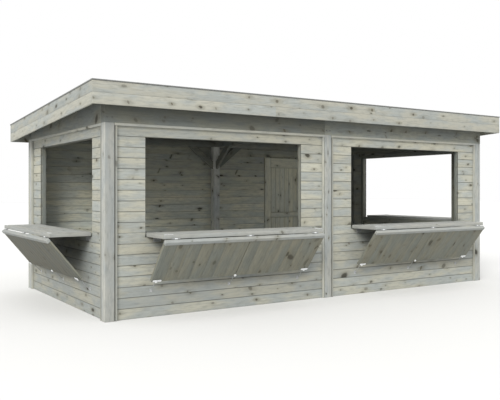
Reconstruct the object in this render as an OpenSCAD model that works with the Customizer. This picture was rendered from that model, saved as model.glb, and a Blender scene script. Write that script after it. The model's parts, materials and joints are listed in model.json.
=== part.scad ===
// Wooden market stall: six posts, four hatch panels with fold-down counters, a boarded back
// wall with a door, and a low pent roof. Millimetres, +Z up, serving front towards -Y.

/* [Plan] */
// Clear width of each of the two front bays
front_bay = 2800; // [2400:5:3400]
// Clear width of the bay in each end wall
side_bay = 2825; // [2400:5:3400]
// Square section of the posts
post = 110; // [90:1:140]
// Ground to the underside of the header
wall_h = 2090; // [2060:5:2400]

/* [Panels] */
// Thickness of a hatch panel, frame and boards together
panel_t = 75; // [50:1:80]
// How far the posts stand proud of the boards
recess = 30; // [15:1:40]
// Width of the battens around a panel
batten_w = 28; // [15:1:45]
// Width of a serving opening
hatch_w = 2090; // [1400:5:2200]
// Ground to the top of a serving opening
hatch_head = 1955; // [1800:5:2020]
// Thickness of the back wall's boards
back_t = 28; // [18:1:40]

/* [Counters] */
// Ground to the top of an open counter
counter_top = 920; // [850:5:1000]
// Thickness of a counter and of its leg panel
flap_t = 45; // [30:1:50]
// Depth of a counter from the wall outwards
counter_d = 458; // [380:1:500]
// Angle of the leg panel below the horizontal, steeper where its foot needs the room
leg_slope = 51; // [40:1:65]

/* [Door] */
// Width of the doorway in the back wall
door_w = 900; // [700:5:1000]
// Distance of the doorway from the middle of the back wall
door_x = 1000; // [700:5:1200]
// Width of the door's stiles and rails
stile_w = 120; // [80:1:140]
// Thickness of the door's inner frame
door_frame_t = 45; // [30:1:50]
// Thickness of the door's boards
door_board_t = 20; // [12:1:25]
// Width of the casing boards
casing_w = 95; // [60:1:110]

/* [Roof] */
// Ground to the top of the roof at the front
roof_front = 2500; // [2470:5:2800]
// How much lower the roof is at the back
roof_fall = 185; // [120:5:220]
// Overhang of the roof on every side
overhang = 200; // [120:5:300]
// Height of the fascia boards
fascia_h = 238; // [180:1:260]
// Thickness of the fascia boards
fascia_t = 20; // [15:1:30]
// Thickness of the felt and its edge trim
felt_t = 12; // [6:1:20]
// Thickness of the roof boards
deck_t = 18; // [15:1:28]
// Depth of the rafters
rafter_h = 95; // [70:1:120]
// Thickness of the rafters, beam and braces
rafter_t = 45; // [35:1:60]
// Number of rafters, an odd number so that one is in the middle
rafter_count = 11; // [7:2:13]

/* [Hardware] */
// Radius of every hinge pin
pin_r = 4; // [3:0.5:5]
// Thickness of the hinge plates
iron_t = 4; // [3:0.5:5]
// Width of a counter hinge
hinge_w = 90; // [60:2:120]
// How far the eyes of the hooks lie below the studs that they hold
hook_drop = 109; // [80:1:140]

/* [Hidden] */
$fn = 48;
hinge_gap = 8;                 // counter's inner edge to its hinge axis
fold_gap = 15;                 // between a counter and its leg panel
head_gap = 22;                 // leg panel to the top of the opening, when shut
side_gap = 8;                  // counter to the jamb, each side
foot_clear = 20;               // least room between a leg panel's foot and the wall
sill_gap = 8;                  // hinge axis above the top of the boards
joint = 1;                     // open joint between pieces of one panel
lay = 0.5;                     // open joint between the layers of the roof and of the door
run = 0.05;                    // radial clearance of a knuckle on its pin
knuckle_wall = 3;
door_gap = 8;                  // door frame to the doorway
door_lap = 20;                 // door boards over the edge of the doorway
door_floor = 15;               // door above the ground
door_clear = 5;                // door boards to the wall
drip = 6;                      // felt trim past the fascia
top_rail_low = 1770;
mid_rail = [900, 990];
brace_foot = 1730;
brace_reach = 500;
brace_w = 95;

stall_l = 2 * front_bay + 3 * post;
stall_w = side_bay + 2 * post + back_t;
pivot_z = counter_top - flap_t;
apron_top = pivot_z - sill_gap;
fold_y = hinge_gap + counter_d + fold_gap / 2;
leg_len = hatch_head - head_gap - pivot_z - hinge_gap - counter_d - fold_gap;
flap_half = hatch_w / 2 - side_gap;
leg_end = fold_gap / 2 + leg_len;
leg_angle = max(leg_slope, acos((fold_y - foot_clear) / leg_end));
leg_turn = 180 + leg_angle;
leg_reach = fold_y - fold_gap / 2 * cos(leg_angle) + flap_t * sin(leg_angle);

// The box that holds the whole stall is centred on the origin, to a hundredth of a millimetre.
front_y = round(50 * (leg_reach - recess - overhang - drip - stall_w)) / 100;
back_y = front_y + stall_w;
back_post_y = back_y - back_t - post;
roof_y0 = front_y - overhang;
roof_y1 = back_y + overhang;
roof_half = stall_l / 2 + overhang;
roof_tan = roof_fall / (roof_y1 - roof_y0 + 2 * drip);

bay_x = (front_bay + post) / 2;
side_y = front_y + post + side_bay / 2;
knuckle_r = pin_r + knuckle_wall;
hinge_xs = [-flap_half + 130, 0, flap_half - 130];
knuckle_half = hinge_w / 6;
hook_xs = [-flap_half + 55, 0, flap_half - 55];
hook_r = 3.5;
hook_short = 30;               // end of a hook rod to the stud
hook_eye_y = 14;
stud_l = 10;
stud_y = fold_y - (leg_end + stud_l) * cos(leg_angle) + flap_t / 2 * sin(leg_angle);
stud_z = pivot_z - (leg_end + stud_l) * sin(leg_angle) - flap_t / 2 * cos(leg_angle);
hook_eye_z = stud_z - hook_drop;
hook_rise = atan(hook_drop / (stud_y - hook_eye_y));
hook_len = hook_drop / sin(hook_rise) - hook_short;

door_x1 = door_x + door_w;
door_head = hatch_head;
door_face = back_y + door_clear + door_board_t;
door_axis = [door_x1 + door_lap + door_gap / 2, door_face + knuckle_r + 1.5];
door_hinge_zs = [330, 1080, 1730];
rafter_xs = [for (i = [0 : rafter_count - 1])
    (roof_half - fascia_t - rafter_t / 2) * (2 * i / (rafter_count - 1) - 1)];

pine = [0.70, 0.70, 0.64];
shade_pine = [0.50, 0.51, 0.48];
felt_grey = [0.25, 0.26, 0.26];
zinc = [0.78, 0.79, 0.80];

// Depths below the roof's top surface, layer by layer
deck_top = felt_t + lay;
rafter_top = deck_top + deck_t + lay;
rafter_low = rafter_top + rafter_h;

// Height of the roof's top surface at a distance y along the frame.
function roof_z(y) = roof_front - (y - roof_y0 + drip) * roof_tan;
function header_top(y) = roof_z(y) - rafter_top;

// A box from its low and high corners.
module block(low, high) {
    translate(low) cube(high - low);
}

// An outline drawn in Y and Z, run along X from x0 to x1.
module run_x(x0, x1, outline) {
    translate([x0, 0, 0]) rotate([90, 0, 90]) linear_extrude(x1 - x0) polygon(outline);
}

// A slab that follows the roof's slope between two depths below its top surface.
module roof_slab(x0, x1, y0, y1, upper, lower) {
    run_x(x0, x1, [[y0, roof_z(y0) - lower], [y1, roof_z(y1) - lower],
                   [y1, roof_z(y1) - upper], [y0, roof_z(y0) - upper]]);
}

// Frames of the four hatch panels: X along the wall, +Y outwards from the boards' face.
module on_front_left() { translate([-bay_x, front_y + recess, 0]) rotate(180) children(); }
module on_front_right() { translate([bay_x, front_y + recess, 0]) rotate(180) children(); }
module on_left() { translate([-stall_l / 2 + recess, side_y, 0]) rotate(90) children(); }
module on_right() { translate([stall_l / 2 - recess, side_y, 0]) rotate(-90) children(); }

// Posts
module post_at(x, y) { color(pine) translate([x - post / 2, y, 0]) cube([post, post, wall_h]); }
module front_left_post() { post_at(-stall_l / 2 + post / 2, front_y); }
module front_centre_post() { post_at(0, front_y); }
module front_right_post() { post_at(stall_l / 2 - post / 2, front_y); }
module back_left_post() { post_at(-stall_l / 2 + post / 2, back_post_y); }
module back_centre_post() { post_at(0, back_post_y); }
module back_right_post() { post_at(stall_l / 2 - post / 2, back_post_y); }

// Headers over the posts, notched for the rafters
module cross_header(y0) {
    y1 = y0 + post;
    color(shade_pine) difference() {
        run_x(-stall_l / 2, stall_l / 2,
              [[y0, wall_h], [y1, wall_h], [y1, header_top(y1)], [y0, header_top(y0)]]);
        for (x = rafter_xs)
            roof_slab(x - rafter_t / 2 - joint, x + rafter_t / 2 + joint, y0 - joint, y1 + joint,
                      0, rafter_low + joint);
    }
}
module front_header() { cross_header(front_y); }
module back_header() { cross_header(back_post_y); }
module side_headers() {
    y0 = front_y + post;
    y1 = back_post_y;
    color(shade_pine) for (side = [-1, 1])
        translate([side * (stall_l - post) / 2, 0, 0])
            run_x(-post / 2, post / 2,
                  [[y0, wall_h], [y1, wall_h], [y1, header_top(y1)], [y0, header_top(y0)]]);
}
module centre_beam() {
    color(shade_pine) block([-rafter_t, front_y + post, wall_h],
                            [rafter_t, back_post_y, wall_h + brace_w]);
}

// Three braces at the head of the back centre post: left, right and towards the front
module brace_outline(start) {
    rise = wall_h - brace_foot;
    reach = brace_reach - start;
    slope = atan(rise / reach);
    polygon([[start, brace_foot], [brace_reach, wall_h],
             [brace_reach - brace_w / sin(slope), wall_h],
             [start, brace_foot + brace_w / cos(slope)]]);
}
module knee_braces() {
    y = back_post_y + post / 2;
    color(shade_pine) {
        for (side = [0, 1]) mirror([side, 0, 0])
            translate([0, y + rafter_t / 2, 0]) rotate([90, 0, 0])
                linear_extrude(rafter_t) brace_outline(post / 2);
        translate([-rafter_t / 2, y, 0]) rotate([90, 0, -90]) mirror([0, 0, 1])
            linear_extrude(rafter_t) brace_outline(post / 2);
    }
}

// Hatch panels: boards below the opening, two piers and the boards over it
module panel(bay) {
    color(pine) {
        block([-bay / 2, -panel_t, 0], [bay / 2, 0, apron_top]);
        block([-bay / 2, -panel_t, apron_top + joint], [-hatch_w / 2, 0, hatch_head - joint]);
        block([hatch_w / 2, -panel_t, apron_top + joint], [bay / 2, 0, hatch_head - joint]);
        block([-bay / 2, -panel_t, hatch_head], [bay / 2, 0, wall_h]);
    }
}
module front_left_panel() { on_front_left() panel(front_bay); }
module front_right_panel() { on_front_right() panel(front_bay); }
module left_panel() { on_left() panel(side_bay); }
module right_panel() { on_right() panel(side_bay); }

module battens(bay) {
    low = wall_h - batten_w;
    color(pine) {
        block([-bay / 2, 0, 0], [-bay / 2 + batten_w, recess, low - joint]);
        block([bay / 2 - batten_w, 0, 0], [bay / 2, recess, low - joint]);
        block([-bay / 2, 0, low], [bay / 2, recess, wall_h]);
    }
}
module panel_battens() {
    on_front_left() battens(front_bay);
    on_front_right() battens(front_bay);
    on_left() battens(side_bay);
    on_right() battens(side_bay);
}

// Back wall: boards on the outside of the back posts, either side of the doorway and over it
module back_wall() {
    y0 = back_y - back_t;
    top = roof_z(back_y) - rafter_low - joint;
    color(pine) {
        block([-stall_l / 2, y0, 0], [door_x, back_y, top]);
        block([door_x1, y0, 0], [stall_l / 2, back_y, top]);
        block([door_x + joint, y0, door_head], [door_x1 - joint, back_y, top]);
    }
}

// Door
module door_casing() {
    edge0 = door_x - door_lap - door_gap;
    edge1 = door_x1 + door_lap + door_gap;
    under = door_head + door_lap + door_gap;
    color(pine) {
        block([edge0 - casing_w, back_y, 0], [edge0, door_face, under - joint]);
        block([edge1, back_y, 0], [edge1 + casing_w, door_face, under - joint]);
        block([edge0 - casing_w, back_y, under],
              [edge1 + casing_w, door_face, under + casing_w]);
    }
}
module door_leaf() {
    x0 = door_x + door_gap;
    x1 = door_x1 - door_gap;
    rail_x0 = x0 + stile_w + joint;
    rail_x1 = x1 - stile_w - joint;
    y0 = back_y + door_clear - door_frame_t;
    y1 = back_y + door_clear - lay;
    z1 = door_head - door_gap;
    color(pine) {
        block([door_x - door_lap, back_y + door_clear, door_floor],
              [door_x1 + door_lap, door_face, door_head + door_lap]);
        block([x0, y0, door_floor], [x0 + stile_w, y1, z1]);
        block([x1 - stile_w, y0, door_floor], [x1, y1, z1]);
        for (rail = [[door_floor, door_floor + stile_w], mid_rail, [top_rail_low, z1]])
            block([rail_x0, y0, rail[0]], [rail_x1, y1, rail[1]]);
    }
}

// A knuckle or pin on the Z axis, from z0 to z1
module barrel(z0, z1, r) { translate([0, 0, z0]) cylinder(h = z1 - z0, r = r); }

strap_l = 350;
strap_h = 36;
door_knuckle = strap_h / 2;
door_plate_half = 42;
module door_irons() {
    plate_y = door_face - door_axis[1];
    color(zinc) {
        for (z = door_hinge_zs) translate([door_axis[0], door_axis[1], z]) difference() {
            union() {
                barrel(-door_knuckle, door_knuckle, knuckle_r);
                block([-strap_l, plate_y, -strap_h / 2], [-pin_r - 1, plate_y + iron_t, strap_h / 2]);
            }
            barrel(-door_knuckle - 1, door_knuckle + 1, pin_r + run);
        }
        translate([door_x + 45, door_face, 1000]) {
            for (z = [-70, 70]) translate([0, 0, z]) rotate([-90, 0, 0]) cylinder(h = 40, r = 6);
            translate([0, 40, 0]) barrel(-85, 85, 8);
        }
    }
}
module door_hinge_pins() {
    plate_y = door_face - door_axis[1];
    color(zinc) for (z = door_hinge_zs) translate([door_axis[0], door_axis[1], z]) {
        barrel(-door_plate_half, door_plate_half, pin_r);
        for (side = [0, 1]) mirror([0, 0, side]) {
            barrel(door_knuckle + 0.5, door_plate_half, knuckle_r);
            block([0, plate_y, door_knuckle + 0.5], [14, plate_y + iron_t, door_plate_half]);
        }
        block([10, plate_y, -door_plate_half], [60, plate_y + iron_t, door_plate_half]);
    }
}

// Counters
module counter() {
    color(pine) block([-flap_half, hinge_gap, pivot_z],
                      [flap_half, hinge_gap + counter_d, counter_top]);
}

// A pin or knuckle along X
module cross_barrel(x0, x1, r) { rotate([0, 90, 0]) barrel(x0, x1, r); }

leaf_l = 60;
// Hinge half that carries the pin: plate along +Y below the axis plane, knuckles at both ends.
module pin_half() {
    cross_barrel(-hinge_w / 2, hinge_w / 2, pin_r);
    for (side = [0, 1]) mirror([side, 0, 0]) {
        cross_barrel(knuckle_half + 0.5, hinge_w / 2, knuckle_r);
        block([knuckle_half + 0.5, 0, -iron_t], [hinge_w / 2, 14, 0]);
    }
    block([-hinge_w / 2, 12, -iron_t], [hinge_w / 2, leaf_l, 0]);
}
// Hinge half that turns on the pin: plate along +Y below the axis plane, knuckle in the middle.
module sleeve_half() {
    difference() {
        union() {
            cross_barrel(-knuckle_half, knuckle_half, knuckle_r);
            block([-knuckle_half, pin_r + 1, -iron_t], [knuckle_half, 14, 0]);
            block([-hinge_w / 2, 12, -iron_t], [hinge_w / 2, leaf_l, 0]);
        }
        cross_barrel(-knuckle_half - 1, knuckle_half + 1, pin_r + run);
    }
}
module counter_irons() {
    color(zinc) for (x = hinge_xs) {
        translate([x, 0, pivot_z]) sleeve_half();
        translate([x, fold_y, pivot_z]) mirror([0, 1, 0]) pin_half();
    }
}
// Plates on the face of the boards under a counter, with the pins it turns on.
module wall_pins() {
    for (x = hinge_xs) translate([x, 0, pivot_z]) {
        cross_barrel(-hinge_w / 2, hinge_w / 2, pin_r);
        for (side = [0, 1]) mirror([side, 0, 0]) {
            cross_barrel(knuckle_half + 0.5, hinge_w / 2, knuckle_r);
            block([knuckle_half + 0.5, 0, -14], [hinge_w / 2, iron_t, 0]);
        }
        block([-hinge_w / 2, 0, -leaf_l], [hinge_w / 2, iron_t, -12]);
    }
}
module counter_hinge_pins() {
    color(zinc) {
        on_front_left() wall_pins();
        on_front_right() wall_pins();
        on_left() wall_pins();
        on_right() wall_pins();
    }
}

// Leg panels, drawn along +Y from the fold axis and turned down below the counter
module leg_place() { translate([0, fold_y, pivot_z]) rotate([leg_turn, 0, 0]) children(); }
module leg() {
    color(pine) leg_place() block([-flap_half, fold_gap / 2, 0], [flap_half, leg_end, flap_t]);
}
foot_strap_l = 100;
foot_strap_w = 26;
module leg_irons() {
    color(zinc) leg_place() {
        for (x = hinge_xs) translate([x, 0, 0]) sleeve_half();
        for (side = [0, 1]) mirror([side, 0, 0])
            block([flap_half - foot_strap_l - 10, leg_end - foot_strap_w - 8, flap_t],
                  [flap_half - 10, leg_end - 8, flap_t + 3]);
        for (x = hook_xs) translate([x, leg_end, flap_t / 2]) rotate([-90, 0, 0])
            cylinder(h = stud_l, r = 3);
    }
}

// Hooks that hold the feet of the leg panels: a wall plate, an eye and a rod
module hooks() {
    for (x = hook_xs) translate([x, 0, hook_eye_z]) {
        block([-18, 0, -20], [18, 3, 20]);
        rotate([-90, 0, 0]) cylinder(h = hook_eye_y + hook_r, r = 5);
        translate([0, hook_eye_y, 0]) rotate([hook_rise - 90, 0, 0])
            cylinder(h = hook_len, r = hook_r);
    }
}
module cabin_hooks() {
    color(zinc) {
        on_front_left() hooks();
        on_front_right() hooks();
        on_left() hooks();
        on_right() hooks();
    }
}

module front_left_counter() { on_front_left() counter(); }
module front_right_counter() { on_front_right() counter(); }
module left_counter() { on_left() counter(); }
module right_counter() { on_right() counter(); }
module front_left_counter_irons() { on_front_left() counter_irons(); }
module front_right_counter_irons() { on_front_right() counter_irons(); }
module left_counter_irons() { on_left() counter_irons(); }
module right_counter_irons() { on_right() counter_irons(); }
module front_left_leg() { on_front_left() leg(); }
module front_right_leg() { on_front_right() leg(); }
module left_leg() { on_left() leg(); }
module right_leg() { on_right() leg(); }
module front_left_leg_irons() { on_front_left() leg_irons(); }
module front_right_leg_irons() { on_front_right() leg_irons(); }
module left_leg_irons() { on_left() leg_irons(); }
module right_leg_irons() { on_right() leg_irons(); }

// Roof
module rafters() {
    color(shade_pine) for (x = rafter_xs)
        roof_slab(x - rafter_t / 2, x + rafter_t / 2, roof_y0 + fascia_t, roof_y1 - fascia_t,
                  rafter_top, rafter_low);
}
module roof_deck() {
    half = roof_half - fascia_t;
    color(shade_pine) roof_slab(-half, half, roof_y0 + fascia_t, roof_y1 - fascia_t,
                                deck_top, deck_top + deck_t);
}
module roof_felt() {
    color(felt_grey) roof_slab(-roof_half - drip, roof_half + drip, roof_y0 - drip,
                               roof_y1 + drip, 0, felt_t);
}
module front_fascia() {
    color(pine) roof_slab(-roof_half, roof_half, roof_y0, roof_y0 + fascia_t,
                          deck_top, deck_top + fascia_h);
}
module back_fascia() {
    color(pine) roof_slab(-roof_half, roof_half, roof_y1 - fascia_t, roof_y1,
                          deck_top, deck_top + fascia_h);
}
module side_fascias() {
    color(pine) for (side = [-1, 1]) translate([side * (roof_half - fascia_t / 2), 0, 0])
        roof_slab(-fascia_t / 2, fascia_t / 2, roof_y0 + fascia_t, roof_y1 - fascia_t,
                  deck_top, deck_top + fascia_h);
}

front_left_post();
front_centre_post();
front_right_post();
back_left_post();
back_centre_post();
back_right_post();
front_header();
back_header();
side_headers();
centre_beam();
knee_braces();
front_left_panel();
front_right_panel();
left_panel();
right_panel();
panel_battens();
back_wall();
door_casing();
door_leaf();
door_irons();
door_hinge_pins();
front_left_counter();
front_right_counter();
left_counter();
right_counter();
front_left_counter_irons();
front_right_counter_irons();
left_counter_irons();
right_counter_irons();
front_left_leg();
front_right_leg();
left_leg();
right_leg();
front_left_leg_irons();
front_right_leg_irons();
left_leg_irons();
right_leg_irons();
counter_hinge_pins();
cabin_hooks();
rafters();
roof_deck();
roof_felt();
front_fascia();
back_fascia();
side_fascias();
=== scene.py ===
"""A timber market stall: boarded walls, posts, counters on folding leg panels, door and felt roof.

Metres throughout. Front towards -Y, door in the back wall, +Z up.
"""
import json
import math

import bpy
import numpy as np
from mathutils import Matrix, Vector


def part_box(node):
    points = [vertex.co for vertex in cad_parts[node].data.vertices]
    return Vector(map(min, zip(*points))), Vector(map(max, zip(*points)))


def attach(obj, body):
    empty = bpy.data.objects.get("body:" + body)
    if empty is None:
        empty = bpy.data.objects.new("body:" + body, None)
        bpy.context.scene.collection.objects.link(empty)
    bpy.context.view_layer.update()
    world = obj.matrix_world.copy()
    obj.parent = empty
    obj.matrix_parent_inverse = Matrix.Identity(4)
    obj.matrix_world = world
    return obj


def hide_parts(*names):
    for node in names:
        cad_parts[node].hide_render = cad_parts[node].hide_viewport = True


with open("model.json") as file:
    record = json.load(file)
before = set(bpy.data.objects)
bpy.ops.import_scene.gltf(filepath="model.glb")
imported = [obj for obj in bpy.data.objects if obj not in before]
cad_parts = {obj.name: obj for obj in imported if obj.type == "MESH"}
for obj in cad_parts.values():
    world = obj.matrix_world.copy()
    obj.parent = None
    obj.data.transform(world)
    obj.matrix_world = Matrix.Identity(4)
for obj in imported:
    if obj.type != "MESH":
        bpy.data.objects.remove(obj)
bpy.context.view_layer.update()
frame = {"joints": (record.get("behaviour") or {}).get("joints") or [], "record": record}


# ---------------------------------------------------------------- sizes, from the frame

def span(node):
    """Lowest and highest corner of a node as two arrays."""
    low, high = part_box(node)
    return np.array(low), np.array(high)


UP = np.array([0.0, 0.0, 1.0])
EAST = np.array([1.0, 0.0, 0.0])
NORTH = np.array([0.0, 1.0, 0.0])

JOINTS = {joint["name"]: joint for joint in frame["joints"]}
SIDES = ("front_left", "front_right", "left", "right")

POST_LOW, POST_HIGH = span("front_left_post")
POST = POST_HIGH[0] - POST_LOW[0]
WALL_H = POST_HIGH[2]
FRONT_Y = POST_LOW[1]
HALF_L = -POST_LOW[0]
BACK_LOW, BACK_HIGH = span("back_wall")
BACK_Y = BACK_HIGH[1]
BACK_T = BACK_HIGH[1] - BACK_LOW[1]
PANEL_LOW, PANEL_HIGH = span("front_left_panel")
RECESS = PANEL_LOW[1] - FRONT_Y
PANEL_T = PANEL_HIGH[1] - PANEL_LOW[1]
FRONT_BAY = PANEL_HIGH[0] - PANEL_LOW[0]
SIDE_LOW, SIDE_HIGH = span("left_panel")
SIDE_BAY = SIDE_HIGH[1] - SIDE_LOW[1]
COUNTER_LOW, COUNTER_HIGH = span("front_left_counter")
FLAP_T = COUNTER_HIGH[2] - COUNTER_LOW[2]
PIVOT_Z = COUNTER_LOW[2]
COUNTER_TOP = COUNTER_HIGH[2]
FLAP_HALF = (COUNTER_HIGH[0] - COUNTER_LOW[0]) / 2
COUNTER_D = COUNTER_HIGH[1] - COUNTER_LOW[1]
HINGE_GAP = 0.008
SIDE_GAP = 0.008
HEAD_GAP = 0.022
FOLD_GAP = 0.015
FOLD_Y = HINGE_GAP + COUNTER_D + FOLD_GAP / 2
HATCH_HALF = FLAP_HALF + SIDE_GAP
HATCH_HEAD = 1.955
APRON_TOP = PIVOT_Z - SIDE_GAP
FOLD_RATIO = frame["record"]["behaviour"]["couplings"][0]["ratio"]
LEG_SLOPE = math.pi - FOLD_RATIO * math.pi / 2
LEG_END = FOLD_GAP / 2 + HATCH_HEAD - HEAD_GAP - PIVOT_Z - HINGE_GAP - COUNTER_D - FOLD_GAP

FELT_LOW, FELT_HIGH = span("roof_felt")
FASCIA_LOW, FASCIA_HIGH = span("front_fascia")
FASCIA_T = FASCIA_HIGH[1] - FASCIA_LOW[1]
FELT_T = 0.012
LAY = 0.0005
DECK_T = 0.018
RAFTER_H = 0.095
RAFTER_T = 0.045
RAFTER_COUNT = 11
FASCIA_H = 0.238
ROOF_FRONT = FELT_HIGH[2]
ROOF_FALL = 0.185
ROOF_TAN = ROOF_FALL / (FELT_HIGH[1] - FELT_LOW[1])
ROOF_HALF = FASCIA_HIGH[0]
ROOF_Y0 = FASCIA_LOW[1]
ROOF_Y1 = span("back_fascia")[1][1]
DECK_TOP = FELT_T + LAY
RAFTER_TOP = DECK_TOP + DECK_T + LAY
RAFTER_LOW = RAFTER_TOP + RAFTER_H

COURSE = 0.115
SKIN = 0.028
BOARD_GAP = 0.0015
STUD = 0.045


def roof_z(y, down=0.0):
    """Height at a distance down from the roof's top, a plane that falls evenly to the back."""
    return ROOF_FRONT - (y - FELT_LOW[1]) * ROOF_TAN - down


def spot(x=0.0, y=0.0, z=0.0):
    """A point as an array."""
    return np.array([x, y, z], float)


def either(sign, near, far):
    """A stretch on the left (sign -1) or the right (sign 1) of a middle line, lower end first."""
    return sorted((sign * near, sign * far))


# ---------------------------------------------------------------- outlines

def rectangle(u0, u1, v0, v1):
    """Four corners, counter-clockwise."""
    return np.array([(u0, v0), (u1, v0), (u1, v1), (u0, v1)], float)


def eased(points, radius, steps=3):
    """Outline with rounded corners: each corner P becomes the curve
    (1 - t)^2 A + 2t(1 - t) P + t^2 B, where A and B lie one radius from P along its sides."""
    points = np.asarray(points, float)
    before = np.roll(points, 1, axis=0) - points
    after = np.roll(points, -1, axis=0) - points
    start = points + radius * before / np.linalg.norm(before, axis=1)[:, None]
    end = points + radius * after / np.linalg.norm(after, axis=1)[:, None]
    t = np.linspace(0.0, 1.0, steps + 1)[None, :, None]
    curve = (1 - t) ** 2 * start[:, None] + 2 * t * (1 - t) * points[:, None] + t ** 2 * end[:, None]
    return curve.reshape(-1, 2)


def inset(points, distance):
    """Outline moved inwards: each corner shifts by d (n1 + n2) / (1 + n1.n2), with n1 and n2
    the inward normals of its two sides."""
    side = np.roll(points, -1, axis=0) - points
    side /= np.linalg.norm(side, axis=1)[:, None]
    normal = np.stack([-side[:, 1], side[:, 0]], axis=1)
    last = np.roll(normal, 1, axis=0)
    share = 1 + (normal * last).sum(axis=1)
    return points + distance * (normal + last) / share[:, None]


def board_section(width, thick, bevel=0.003, back=0.001):
    """Tongue-and-groove section from u = 0 to the width, face at v = 0, back at v = -thick.
    Returns the outline and 1 where a point lies in the joint, which gathers dirt."""
    w = width - BOARD_GAP
    tongue = 0.007
    low, high = -0.62 * thick, -0.38 * thick
    points = [(back, -thick), (w - back, -thick), (w, -thick + back), (w, low),
              (w + tongue, low + 0.001), (w + tongue, high - 0.001), (w, high),
              (w, -bevel), (w - bevel * 0.9, -0.0004), (w - bevel - 0.005, 0.0),
              (bevel + 0.005, 0.0), (bevel * 0.9, -0.0004), (0.0, -bevel), (0.0, high),
              (0.008, high), (0.008, low), (0.0, low), (0.0, -thick + back)]
    dirt = [0, 0, 0.6, 1, 1, 1, 1, 1, 0.35, 0, 0, 0.35, 1, 1, 1, 1, 1, 0.6]
    return np.array(points), np.array(dirt, float)


# ---------------------------------------------------------------- putting pieces together

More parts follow.
